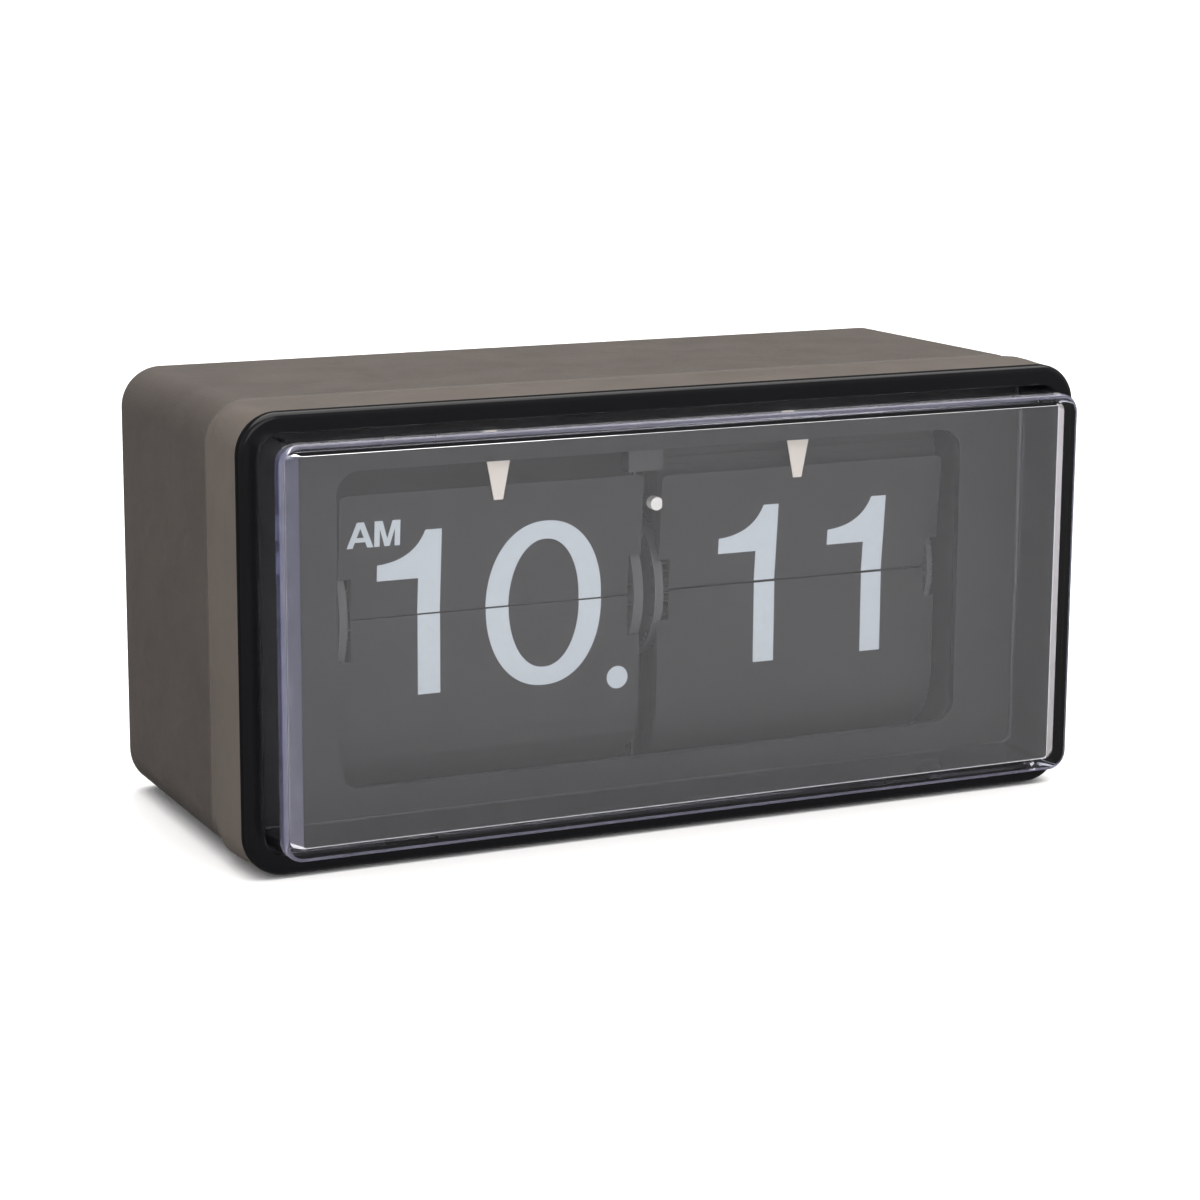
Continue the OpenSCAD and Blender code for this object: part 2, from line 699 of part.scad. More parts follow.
module hour_axle() {
    color("silver") union() {
        rod_x(shaft_r, left_plate_x, centre_plate_x + 0.3, minute_at);
        rod_x(shaft_r + 0.5, left_plate_x - 1.2, left_plate_x + plate_t, minute_at);
        rod_x(3, left_plate_x - 2.2, left_plate_x, minute_at);
    }
}

module minute_shaft() {
    color("silver") rod_x(shaft_r, centre_plate_x + 0.4, gear_plate_x + gear_plate_t + 0.6, minute_at);
}

ratchet_x = 0.35;
ratchet_t = 0.6;
// Ratchet wheel on the hour drum, one tooth an hour.
module hour_ratchet() {
    outer = 9;
    root = 7.6;
    color("#1c1c1e") difference() {
        plate_x(ratchet_x, ratchet_t) translate(minute_at)
            polygon([for (i = [0 : hour_count - 1]) each [
                outer * [cos(hour_step * i), sin(hour_step * i)],
                root * [cos(hour_step * (i + 0.15)), sin(hour_step * (i + 0.15))]]]);
        rod_x(hub_core, 0, 3, minute_at);
    }
}

// Leaf spring that rests on the ratchet and keeps the hour drum on its step.
module detent_spring() {
    color("silver") box(ratchet_x + 0.1, ratchet_x + 0.5, axis_d - 6, axis_d + 20, drum_z - 9.6, drum_z - 9.3);
    color("silver") box(ratchet_x + 0.1, centre_plate_x, axis_d + 18, axis_d + 20, drum_z - 9.6, drum_z - 6.6);
}

// Cam on the minute drum that lifts the carry lever once in each turn.
module carry_cam() {
    cam_x = 2.1;
    cam_t = 1.15;
    color("#1c1c1e") difference() {
        union() {
            rod_x(5.2, cam_x, cam_x + cam_t, minute_at);
            plate_x(cam_x, cam_t) translate(minute_at)
                polygon(concat([[0, 0]], [for (a = [150 : 15 : 330]) (5 + (a - 150) / 60) * [cos(a), sin(a)]]));
        }
        rod_x(shaft_r, cam_x - 1, cam_x + 3, minute_at);
    }
}

lever_x = 2.05;
lever_t = 1.1;
tip_at = [20.8, base_z + 72.4];
tip_t = 2.4;
// Rocking lever with a pawl over the hour ratchet.
module carry_lever() {
    color("#1c1c1e") difference() {
        union() {
            plate_x(lever_x, lever_t) difference() {
                bar(lever_at, tip_at, 2.2);
                translate([0, tip_at[1] - 3]) square([tip_at[0] + tip_t / 2, 6]);
            }
            plate_x(lever_x, lever_t) bar(lever_at, minute_at + [9, 5.6], 1.8);
            rod_x(2.4, lever_x, lever_x + lever_t, lever_at);
            rod_x(0.7, ratchet_x + 0.1, lever_x + 0.5, ratchet_window + [2.2, 2.4]);
        }
        rod_x(1 + running, lever_x - 1, lever_x + 3, lever_at);
    }
}

// The white end of the lever: round on its left, flat beside the minute leaves.
module lever_tip() {
    tip_r = 1.55;
    color(nylon) intersection() {
        rod_y(tip_r, tip_at[0] - tip_t / 2, tip_at[0] + tip_t / 2, lever_x + 1.2, tip_at[1]);
        box(lever_x - 1, minute_x0 - 0.15, tip_at[0] - tip_t, tip_at[0] + tip_t,
            tip_at[1] - tip_r, tip_at[1] + tip_r);
    }
}

// A round-ended bar between two points.
module bar(a, b, w) {
    length = norm(b - a);
    translate(a) rotate(atan2(b[1] - a[1], b[0] - a[0])) {
        translate([0, -w / 2]) square([length, w]);
        circle(w / 2);
        translate([length, 0]) circle(w / 2);
    }
}

module lever_pivot() {
    color("silver") union() {
        rod_x(1, centre_plate_x - 0.1, lever_x + lever_t + 0.2, lever_at);
        rod_x(1.7, lever_x + lever_t + 0.05, lever_x + lever_t + 0.35, lever_at);
    }
}

// ---- gear train ----

// Spur gear with trapezoidal teeth and a little backlash.
module gear(teeth, x0, w, bore, at, phase) {
    pitch = 360 / teeth;
    rp = gear_m * teeth / 2;
    root = rp - 1.15 * gear_m;
    tip = rp + 0.75 * gear_m;
    plate_x(x0, w) translate(at) difference() {
        polygon([for (i = [0 : teeth - 1]) each [
            root * [cos(phase + pitch * (i - 0.27)), sin(phase + pitch * (i - 0.27))],
            tip * [cos(phase + pitch * (i - 0.1)), sin(phase + pitch * (i - 0.1))],
            tip * [cos(phase + pitch * (i + 0.1)), sin(phase + pitch * (i + 0.1))],
            root * [cos(phase + pitch * (i + 0.27)), sin(phase + pitch * (i + 0.27))]]]);
        circle(bore);
    }
}

module minute_gear() {
    color("#e0d9c8") gear(minute_teeth, minute_gear_x, minute_gear_w, shaft_r, minute_at, 0);
}

module idler_gear() {
    color("#e0d9c8") union() {
        gear(pinion_teeth, minute_gear_x - 0.2, wheel_x - minute_gear_x + 0.4, arbor_r, idler_at, idler_phase);
        gear(wheel_teeth, wheel_x, wheel_w, arbor_r, idler_at, wheel_phase);
    }
}

module idler_arbor() {
    color("silver") rod_x(arbor_r, right_plate_x - 0.3, gear_plate_x + gear_plate_t + 0.4, idler_at);
}

module motor_pinion() {
    color("#e0d9c8") union() {
        gear(motor_teeth, wheel_x - 0.1, wheel_w + 0.2, 0.4, motor_at,
            mesh_phase(wheel_phase, wheel_teeth, motor_angle, motor_teeth));
        rod_x(1, wheel_x - 0.1, gear_plate_x + 4, motor_at);
    }
}

module motor_case() {
    x0 = gear_plate_x + gear_plate_t;
    color("#1b1c1e") difference() {
        box(x0, x0 + 8.6, axis_d - 0.3, axis_d + 20.5, base_z + 15, base_z + 41.5);
        rod_x(1 + running, x0 - 1, gear_plate_x + 4.1, motor_at);
        for (p = motor_screw_places)
            rod_x(1, x0 - 1, x0 + 6, p);
    }
}
motor_screw_places = [[axis_d + 2.7, base_z + 18.5], [axis_d + 17.2, base_z + 18.5]];

module motor_screws() {
    color("silver") for (p = motor_screw_places)
        union() {
            rod_x(0.95, gear_plate_x - 0.1, gear_plate_x + 6, p);
            rod_x(1.9, gear_plate_x - 1.1, gear_plate_x, p);
        }
}

module setting_gear() {
    color("#e0d9c8") gear(wheel_teeth, wheel_x, wheel_w, arbor_r, setting_at,
        mesh_phase(wheel_phase, wheel_teeth, setting_dir, wheel_teeth));
}

module setting_arbor() {
    color("silver") rod_x(arbor_r, right_plate_x - 0.3, setting_x1 + 1, setting_at);
}

// Finger wheel whose rim shows through the back of the case.
module setting_wheel() {
    ribs = 48;
    color("#1b1c1e") difference() {
        union() {
            plate_x(setting_x0, setting_x1 - setting_x0) translate(setting_at)
                polygon([for (i = [0 : ribs - 1]) each [
                    (setting_r - 0.6) * [cos(360 / ribs * (i - 0.3)), sin(360 / ribs * (i - 0.3))],
                    setting_r * [cos(360 / ribs * (i - 0.15)), sin(360 / ribs * (i - 0.15))],
                    setting_r * [cos(360 / ribs * (i + 0.15)), sin(360 / ribs * (i + 0.15))],
                    (setting_r - 0.6) * [cos(360 / ribs * (i + 0.3)), sin(360 / ribs * (i + 0.3))]]]);
        }
        rod_x(arbor_r, setting_x0 - 1, setting_x1 + 1, setting_at);
        rod_x(setting_r - 2.5, setting_x0 + 2, setting_x1 + 1, setting_at);
    }
    color("#1b1c1e") difference() {
        rod_x(3, setting_x0 + 1.5, setting_x1, setting_at);
        rod_x(arbor_r, setting_x0, setting_x1 + 1, setting_at);
    }
}

// ---- electronics ----

board_screw_places = [for (x = [-92, -84], z = [30, 62]) [x, base_z + z]];
board_d = 70;

module circuit_board() {
    color("#1f5a35") difference() {
        box(-98, -81, board_d, board_d + 1.6, base_z + 26, base_z + 66);
        for (p = board_screw_places)
            rod_y(1, board_d - 1, board_d + 3, p[0], p[1]);
    }
    color("#2a2a2a") box(-94, -86, board_d - 1.5, board_d, base_z + 40, base_z + 50);
}

module board_screws() {
    color("silver") for (p = board_screw_places)
        union() {
            rod_y(0.95, board_d - 0.2, back_d - 1, p[0], p[1]);
            rod_y(1.9, board_d - 1.4, board_d, p[0], p[1]);
        }
}

rear_shell();
front_band();
bezel_ring();
clear_cover();
dial_plate();
rubber_feet();
case_screws();
battery_door();
battery();
battery_contacts();
battery_spring();
left_side_plate();
centre_plate();
right_side_plate();
gear_plate();
tie_bars();
frame_brackets();
bracket_screws();
tongue_rail();
hour_catch_tongue();
minute_catch_tongue();
tongue_rivets();
hour_axle();
hour_hub();
hour_disc_left();
hour_disc_right();
hour_ratchet();
hour_leaves();
hour_flap();
detent_spring();
minute_shaft();
minute_hub();
minute_disc_left();
minute_disc_right();
minute_leaves();
minute_flap();
carry_cam();
carry_lever();
lever_tip();
lever_pivot();
minute_gear();
idler_gear();
idler_arbor();
motor_pinion();
motor_case();
motor_screws();
setting_gear();
setting_arbor();
setting_wheel();
circuit_board();
board_screws();
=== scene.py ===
import json
from math import atan2, cos, degrees, pi, radians, sin

import bmesh
import bpy
from mathutils import Matrix, Vector


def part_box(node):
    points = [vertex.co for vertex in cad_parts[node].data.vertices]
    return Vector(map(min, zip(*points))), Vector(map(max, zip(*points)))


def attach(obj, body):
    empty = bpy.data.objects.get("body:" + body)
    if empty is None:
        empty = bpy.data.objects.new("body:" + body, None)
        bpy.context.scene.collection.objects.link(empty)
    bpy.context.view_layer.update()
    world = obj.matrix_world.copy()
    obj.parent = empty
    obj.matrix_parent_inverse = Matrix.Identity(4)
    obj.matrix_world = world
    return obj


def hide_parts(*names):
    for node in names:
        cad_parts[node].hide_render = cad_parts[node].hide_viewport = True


MM = 0.001

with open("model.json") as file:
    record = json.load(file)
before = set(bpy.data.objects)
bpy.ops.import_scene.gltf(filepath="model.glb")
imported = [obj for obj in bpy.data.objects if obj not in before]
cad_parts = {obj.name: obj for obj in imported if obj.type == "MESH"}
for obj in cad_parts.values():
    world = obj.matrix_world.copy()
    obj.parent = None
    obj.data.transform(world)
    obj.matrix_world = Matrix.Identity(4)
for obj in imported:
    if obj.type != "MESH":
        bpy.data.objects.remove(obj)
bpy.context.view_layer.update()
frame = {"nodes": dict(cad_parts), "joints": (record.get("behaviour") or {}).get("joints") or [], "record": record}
joints = {j["name"]: j for j in frame["joints"]}
slot_of = {p["node"]: p["material_slot"] for p in frame["record"]["subparts"]}


# ---- camera: first, at the photograph's viewing angle ----

CAMERA_TARGET = Vector((-20.21, -39.6, 55.69)) * MM
CAMERA_DISTANCE = 0.718819
CAMERA_AZIMUTH = radians(-25.4946)
CAMERA_ELEVATION = radians(11.8515)
CAMERA_ROLL = radians(0.3384)
CAMERA_LENS = 95.889


def make_camera():
    back = Vector((sin(CAMERA_AZIMUTH) * cos(CAMERA_ELEVATION),
                   -cos(CAMERA_AZIMUTH) * cos(CAMERA_ELEVATION),
                   sin(CAMERA_ELEVATION)))
    right = (-back).cross(Vector((0, 0, 1))).normalized()
    up = right.cross(-back)
    c, s = cos(CAMERA_ROLL), sin(CAMERA_ROLL)
    right, up = c * right + s * up, c * up - s * right
    data = bpy.data.cameras.new("camera")
    data.lens = CAMERA_LENS
    data.sensor_width = 36
    data.clip_start = 0.01
    camera = bpy.data.objects.new("camera", data)
    camera.matrix_world = Matrix((right, up, back)).transposed().to_4x4()
    camera.location = CAMERA_TARGET + back * CAMERA_DISTANCE
    bpy.context.scene.collection.objects.link(camera)
    bpy.context.scene.camera = camera


# ---- materials ----

class Nodes:
    """A short way to build one material's node tree."""

    def __init__(self, name):
        self.material = bpy.data.materials.new(name)
        self.material.use_nodes = True
        self.tree = self.material.node_tree
        self.shader = self.tree.nodes["Principled BSDF"]
        self.output = self.tree.nodes["Material Output"]

    def add(self, kind, inputs=None, **settings):
        node = self.tree.nodes.new(kind)
        for key, value in settings.items():
            setattr(node, key, value)
        for key, value in (inputs or {}).items():
            if isinstance(value, bpy.types.NodeSocket):
                self.tree.links.new(value, node.inputs[key])
            else:
                node.inputs[key].default_value = value
        return node

    def set(self, **values):
        for key, value in values.items():
            self.shader.inputs[key.replace("_", " ")].default_value = value

    def link(self, socket, key):
        self.tree.links.new(socket, self.shader.inputs[key])

    def coordinates(self):
        return self.add("ShaderNodeTexCoord").outputs["Object"]

    def noise(self, scale, detail=3.0, rough=0.55, vector=None):
        return self.add("ShaderNodeTexNoise", {"Vector": vector or self.coordinates(), "Scale": scale,
                                               "Detail": detail, "Roughness": rough}).outputs["Fac"]

    def ramp(self, fac, low, high, start=0.3, end=0.7):
        node = self.add("ShaderNodeMapRange", {"Value": fac, "From Min": start, "From Max": end,
                                               "To Min": low, "To Max": high})
        return node.outputs["Result"]

    def mix(self, fac, a, b):
        node = self.add("ShaderNodeMix", data_type="RGBA")
        for index, value in ((0, fac), (6, a), (7, b)):
            if isinstance(value, bpy.types.NodeSocket):
                self.tree.links.new(value, node.inputs[index])
            elif index == 0:
                node.inputs[index].default_value = value
            else:
                node.inputs[index].default_value = (*value, 1)
        return node.outputs[2]

    def bump(self, height, strength, distance):
        return self.add("ShaderNodeBump", {"Height": height, "Strength": strength,
                                           "Distance": distance}).outputs["Normal"]


def plastic(name, colour, roughness, spread=0.12, grain=0.0, grain_scale=2600.0, **settings):
    """Moulded plastic: slow colour drift, uneven polish and, where asked, a fine spark-eroded grain."""
    n = Nodes(name)
    drift = n.noise(38.0, 4.0)
    low = tuple(c * (1 - spread) for c in colour)
    high = tuple(min(1.0, c * (1 + spread)) for c in colour)
    n.link(n.mix(n.ramp(drift, 0.0, 1.0), low, high), "Base Color")
    n.link(n.ramp(n.noise(95.0, 5.0), roughness * 0.88, min(1.0, roughness * 1.12)), "Roughness")
    if grain:
        fine = n.noise(grain_scale, 2.0, 0.6)
        n.link(n.bump(fine, grain, 0.00012), "Normal")
    n.set(**settings)
    return n.material


def metal(name, colour, roughness, brush=(1.0, 1.0, 1.0)):
    """Plated or rolled steel with a faint directional finish."""
    n = Nodes(name)
    mapping = n.add("ShaderNodeMapping", {"Vector": n.coordinates(), "Scale": brush})
    streak = n.noise(420.0, 4.0, 0.6, mapping.outputs["Vector"])
    n.link(n.mix(n.ramp(streak, 0.0, 1.0), tuple(c * 0.86 for c in colour), colour), "Base Color")
    n.link(n.ramp(streak, roughness * 0.8, roughness * 1.3), "Roughness")
    n.link(n.bump(streak, 0.15, 0.00004), "Normal")
    n.set(Metallic=1.0)
    return n.material


def clear_plastic():
    """Clear moulded styrene with a cool tint that shows along its edges."""
    n = Nodes("clear_plastic")
    tone = n.ramp(n.noise(30.0, 2.0), 0.0, 1.0)
    n.link(n.mix(tone, (0.955, 0.96, 0.985), (0.975, 0.98, 1.0)), "Base Color")
    n.link(n.ramp(n.noise(240.0, 5.0), 0.012, 0.04), "Roughness")
    n.set(IOR=1.5, Transmission_Weight=1.0)
    tint = n.add("ShaderNodeVolumeAbsorption", {"Color": (0.70, 0.71, 0.90, 1.0), "Density": 18.0})
    n.tree.links.new(tint.outputs["Volume"], n.output.inputs["Volume"])
    return n.material


def painted_edge_glow():
    """The rim of the clear cover, with a painted glow: a milky lavender diffuse colour stands in for light piped
    along the walls.
    """
    n = Nodes("painted_edge_glow")
    tone = n.ramp(n.noise(160.0, 4.0), 0.0, 1.0)
    # Painted glow: this lavender base colour stands in for light piped along the walls, not a tint of the plastic.
    n.link(n.mix(tone, (0.24, 0.24, 0.34), (0.33, 0.33, 0.45)), "Base Color")
    n.link(n.ramp(n.noise(300.0, 3.0), 0.06, 0.2), "Roughness")
    n.set(IOR=1.5, Transmission_Weight=0.7)
    return n.material


def painted_corner_glow():
    """The inner corner beside the right wall, with a painted reflection: a pale diffuse band stands in for the
    bright surroundings mirrored there.
    """
    n = Nodes("painted_corner_glow")
    height = n.add("ShaderNodeSeparateXYZ", {"Vector": n.coordinates()}).outputs["Z"]
    # Painted shade and highlight: the band is painted darker low down and lighter towards the top.
    tone = n.ramp(height, 0.0, 1.0, 0.02, 0.09)
    n.link(n.mix(tone, (0.20, 0.18, 0.16), (0.52, 0.46, 0.41)), "Base Color")
    n.link(n.ramp(n.noise(300.0, 3.0), 0.1, 0.25), "Roughness")
    n.set(IOR=1.5, Transmission_Weight=0.12)
    return n.material


def printed(name, colour):
    """Screen-printed ink: flat, with slightly uneven cover."""
    n = Nodes(name)
    cover = n.ramp(n.noise(700.0, 4.0), 0.0, 1.0)
    n.link(n.mix(cover, tuple(c * 0.94 for c in colour), colour), "Base Color")
    n.link(n.ramp(n.noise(1500.0, 3.0), 0.5, 0.65), "Roughness")
    return n.material


def battery_jacket():
    """Printed sleeve of a cell, copper coloured towards its raised end."""
    n = Nodes("cell_jacket")
    axis = n.add("ShaderNodeSeparateXYZ", {"Vector": n.coordinates()}).outputs["X"]
    along = n.ramp(axis, 0.0, 1.0, 0.0095, 0.0100)
    n.link(n.mix(along, (0.018, 0.018, 0.02), (0.55, 0.26, 0.09)), "Base Color")
    n.link(n.ramp(n.noise(160.0), 0.22, 0.34), "Roughness")
    return n.material


def circuit_material():
    """Solder mask over faint copper tracks."""
    n = Nodes("circuit_board")
    tracks = n.add("ShaderNodeTexBrick", {"Vector": n.coordinates(), "Scale": 260.0, "Mortar Size": 0.03,
                                          "Color1": (0.014, 0.10, 0.035, 1),
                                          "Color2": (0.018, 0.12, 0.045, 1),
                                          "Mortar": (0.03, 0.2, 0.08, 1)})
    n.link(tracks.outputs["Color"], "Base Color")
    n.link(n.ramp(n.noise(300.0), 0.3, 0.45), "Roughness")
    return n.material


def make_materials():
    return {
        "case_plastic": plastic("case_plastic", (0.073, 0.0625, 0.055), 0.52, 0.05, grain=0.3,
                                Specular_IOR_Level=0.35),
        "band_plastic": plastic("band_plastic", (0.118, 0.101, 0.088), 0.34, 0.04,
                                Specular_IOR_Level=0.6),
        "disc_plastic": plastic("disc_plastic", (0.050, 0.050, 0.052), 0.5, 0.08),
        "gloss_black": plastic("gloss_black", (0.0035, 0.0036, 0.0044), 0.16, 0.1,
                               Specular_IOR_Level=0.22),
        "clear_plastic": clear_plastic(),
        "painted_edge_glow": painted_edge_glow(),
        "painted_corner_glow": painted_corner_glow(),
        "dial_grey": plastic("dial_grey", (0.0150, 0.0150, 0.0158), 0.55, 0.06,
                             Specular_IOR_Level=0.25),
        "rubber": plastic("rubber", (0.012, 0.012, 0.012), 0.82, 0.2, grain=0.8, grain_scale=1500.0),
        "leaf_plastic": plastic("leaf_plastic", (0.0205, 0.0205, 0.0212), 0.6, 0.06,
                                Specular_IOR_Level=0.25),
        "black_plastic": plastic("black_plastic", (0.014, 0.014, 0.015), 0.42, 0.2),
        "frame_steel": metal("frame_steel", (0.46, 0.46, 0.47), 0.38, (1.0, 0.2, 1.0)),
        "dark_plastic": plastic("dark_plastic", (0.022, 0.022, 0.023), 0.5, 0.15),
        "white_nylon": plastic("white_nylon", (0.70, 0.69, 0.66), 0.42, 0.05, Subsurface_Weight=0.08,
                               Subsurface_Scale=0.002),
        "tongue_plastic": plastic("tongue_plastic", (0.62, 0.57, 0.51), 0.45, 0.04),
        "natural_acetal": plastic("natural_acetal", (0.72, 0.68, 0.56), 0.38, 0.05),
        "plated_steel": metal("plated_steel", (0.62, 0.62, 0.63), 0.22),
        "cell_jacket": battery_jacket(),
        "circuit_board": circuit_material(),
        "leaf_print": printed("leaf_print", (0.44, 0.485, 0.515)),
    }


# ---- mesh helpers ----

def link(name, mesh, material):
    piece = bpy.data.objects.new(name, mesh)
    bpy.context.scene.collection.objects.link(piece)
    mesh.materials.append(material)
    return piece


def rounded_loop(width, height, radius, y, centre, steps=14):
    """Corner points of a rounded rectangle facing the front, in millimetres about a centre (x, z)."""
    points = []
    for sx, sz, start in ((1, 1, 0), (-1, 1, 90), (-1, -1, 180), (1, -1, 270)):
        for i in range(steps + 1):
            a = radians(start + 90 * i / steps)
            points.append((centre[0] + sx * (width / 2 - radius) + radius * cos(a), y,
                           centre[1] + sz * (height / 2 - radius) + radius * sin(a)))
    return points


def loft(name, loops, material, ring, edge_material=None, edge_rows=()):
    """A skin through loops of equal length. A ring joins its last loop to its first; otherwise both ends
    are capped. The rows of faces numbered in edge_rows take edge_material."""
    bm = bmesh.new()
    rows = [[bm.verts.new(Vector(p) * MM) for p in loop] for loop in loops]
    pairs = list(zip(rows, rows[1:])) + ([(rows[-1], rows[0])] if ring else [])
    for row, (a, b) in enumerate(pairs):
        for i in range(len(a)):
            k = (i + 1) % len(a)
            face = bm.faces.new((a[i], a[k], b[k], b[i]))
            face.material_index = 1 if row in edge_rows else 0
    if not ring:
        bm.faces.new(rows[0])
        bm.faces.new(rows[-1])
    bmesh.ops.recalc_face_normals(bm, faces=bm.faces)
    for face in bm.faces:
        face.smooth = True
    mesh = bpy.data.meshes.new(name)
    bm.to_mesh(mesh)
    bm.free()
    piece = link(name, mesh, material)
    if edge_material:
        mesh.materials.append(edge_material)
    piece.modifiers.new("normals", "WEIGHTED_NORMAL").mode = "FACE_AREA"
    return piece


# ---- the cover and the bezel, placed by the CAD boxes ----

def mm_box(node):
    low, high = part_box(node)
    return low / MM, high / MM


def make_cover(materials):
    """The clear cover: a thin moulded box with rounded front edges, draft on its sides and a chamfer
    inside its front corners."""
    bezel_low, bezel_high = mm_box("bezel_ring")
    centre = (0.0, (bezel_low.z + bezel_high.z) / 2)
    front = mm_box("clear_cover")[0].y
    base = bezel_high.y
    front_w, front_h, wall, draft = 199.0, 91.0, 2.2, 0.5
    corner, edge, shoulder = 4.5, 0.9, 2.4
    depth = base - front

    def loop(inset, y, less=0.0):
        grow = draft * (y - front) / depth
        return rounded_loop(front_w - 2 * inset + 2 * grow, front_h - 2 * (inset - less) + 2 * grow,
                            max(corner - inset, 0.6), y, centre)

    rounding = [(edge - edge * sin(radians(a)), front + edge - edge * cos(radians(a)))
                for a in range(0, 91, 15)]
    # The chamfer is wide beside the side walls and narrow above and below; ease softens its borders.
    chamfer, narrow_chamfer, ease, blend = 2.6, 0.5, 0.06, 0.15
    inner_front = front + wall
    less = chamfer - narrow_chamfer
    inner = [(wall + chamfer + blend, inner_front, less), (wall + chamfer, inner_front + ease, less),
             (wall + ease, inner_front + chamfer, 0.0), (wall, inner_front + chamfer + blend, 0.0)]
    loops = [loop(*row) for row in rounding]
    loops += [loop(0, front + shoulder), loop(0, base), loop(wall, base)]
    loops += [loop(*row) for row in reversed(inner)]
    # The rounding rows of the front edge take the painted edge glow.
    piece = loft("cover_shell", loops, materials["clear_plastic"], ring=False,
                 edge_material=materials["painted_edge_glow"], edge_rows=range(len(rounding) - 1))
    piece.data.materials.append(materials["painted_corner_glow"])
    # Painted light: the slanted chamfer faces take the painted corner reflection beside the right wall and the
    # painted edge glow beside the left wall.
    for polygon in piece.data.polygons:
        side = polygon.center.x / MM
        slanted = 0.5 < abs(polygon.normal.x) < 0.9 and polygon.normal.y > 0.3
        if slanted and abs(side) > front_w / 2 - wall - chamfer:
            polygon.material_index = 2 if side > 0 else 1
    piece.visible_shadow = False
    piece.visible_diffuse = False
    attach(piece, "case")
    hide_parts("clear_cover")


def make_bezel(materials):
    """The glossy frame around the cover, with a rolled outer edge and a soft inner edge."""
    low, high = mm_box("bezel_ring")
    centre = (0.0, (low.z + high.z) / 2)
    width, height = high.x - low.x, high.z - low.z
    rim, corner = 2.7, 9.3
    front, rim_back, back = low.y, low.y + rim, high.y
    open_w, open_h, open_r = 200.7, 92.7, 4.85
    roll, lip, bevel = 1.5, 0.45, 0.12
    step = 2.55

    def outer(inset, y):
        return rounded_loop(width - 2 * inset, height - 2 * inset, corner - inset, y, centre)

    def inner(inset, y):
        return rounded_loop(open_w + 2 * inset, open_h + 2 * inset, open_r + inset, y, centre)

    loops = [outer(step, back), outer(step, rim_back), outer(bevel, rim_back), outer(0, rim_back - bevel)]
    loops += [outer(roll - roll * cos(radians(a)), front + roll - roll * sin(radians(a)))
              for a in range(0, 91, 15)]
    loops += [inner(lip - lip * sin(radians(a)), front + lip - lip * cos(radians(a)))
              for a in range(0, 91, 30)]
    loops += [inner(0, back)]
    piece = loft("bezel_frame", loops, materials["gloss_black"], ring=True)
    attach(piece, "case")
    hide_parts("bezel_ring")


# ---- numerals ----

def arc(cx, cz, rx, rz, start, end, steps):
    return [(cx + rx * cos(radians(start + (end - start) * i / steps)),
             cz + rz * sin(radians(start + (end - start) * i / steps))) for i in range(steps + 1)]


def bezier(p0, p1, p2, p3, steps):
    points = []
    for i in range(1, steps + 1):
        t = i / steps
        u = 1 - t
        points.append(tuple(u ** 3 * a + 3 * u * u * t * b + 3 * u * t * t * c + t ** 3 * d
                            for a, b, c, d in zip(p0, p1, p2, p3)))
    return points


NUMERAL_H = 38.4
STROKE = 5.5


def one(right, b):
    """The numeral 1 by the right edge of its stem and its foot: a list of closed outlines, of which the
    first is solid and any other is a hole."""
    flag = [(right - STROKE, b), (right - STROKE, b + 27.2), (right - 15.5, b + 27.2),
            (right - 15.5, b + 30.9)]
    return [[(right, b)] + flag
            + bezier(flag[-1], (right - 9.0, b + 31.4), (right - 5.6, b + 34.2),
                     (right - 4.0, b + NUMERAL_H), 12)
            + [(right, b + NUMERAL_H)]]


def squarish(cx, cz, rx, rz, power, steps=72):
    """An ellipse with slightly flattened sides."""
    points = []
    for i in range(steps):
        a = 2 * pi * i / steps
        c, s = cos(a), sin(a)
        points.append((cx + rx * abs(c) ** (2 / power) * (1 if c >= 0 else -1),
                       cz + rz * abs(s) ** (2 / power) * (1 if s >= 0 else -1)))
    return points


def zero(cx, b):
    cz = b + NUMERAL_H / 2 - 0.4
    return [squarish(cx, cz, 14.6, 19.5, 2.15), squarish(cx, cz, 8.9, 15.2, 2.1)]


def two(left, b):
    """The numeral 2 by its left edge and its foot."""
    top = b + NUMERAL_H
    right = left + 25
    outer = arc(left + 12.6, top - 12.2, 12.4, 12.2, 180, -28, 20)
    inner = arc(left + 12.6, top - 12.2, 6.8, 7.8, -24, 180, 20)
    return [[(left, b), (right, b), (right, b + 4.8), (left + 7.6, b + 4.8)]
            + bezier((left + 7.6, b + 4.8), (left + 10.5, b + 9.6), (left + 20.2, b + 13.5), outer[-1], 10)
            + list(reversed(outer[:-1])) + list(reversed(inner))
            + bezier(inner[0], (left + 14.0, b + 13.0), (left + 1.5, b + 10.5), (left, b), 10)[:-1]]


def dot(cx, b):
    return [arc(cx, b - 0.7, 2.7, 2.7, 0, 351, 39)]


def letter_a(left, low, high):
    w = 6.4
    mid = left + w / 2
    bar = low + 1.3
    return [[(left, low), (left + 1.45, low), (left + 1.95, bar), (left + w - 1.95, bar),
             (left + w - 1.45, low), (left + w, low), (mid + 0.85, high), (mid - 0.85, high)],
            [(left + 2.35, bar + 1.05), (mid, high - 1.45), (left + w - 2.35, bar + 1.05)]]


def letter_m(left, low, high):
    w, s = 6.2, 1.3
    mid = left + w / 2
    return [[(left, low), (left + s, low), (left + s, high - 1.9), (mid - 0.6, low), (mid + 0.6, low),
             (left + w - s, high - 1.9), (left + w - s, low), (left + w, low), (left + w, high),
             (left + w - 1.9, high), (mid, low + 1.75), (left + 1.9, high), (left, high)]]


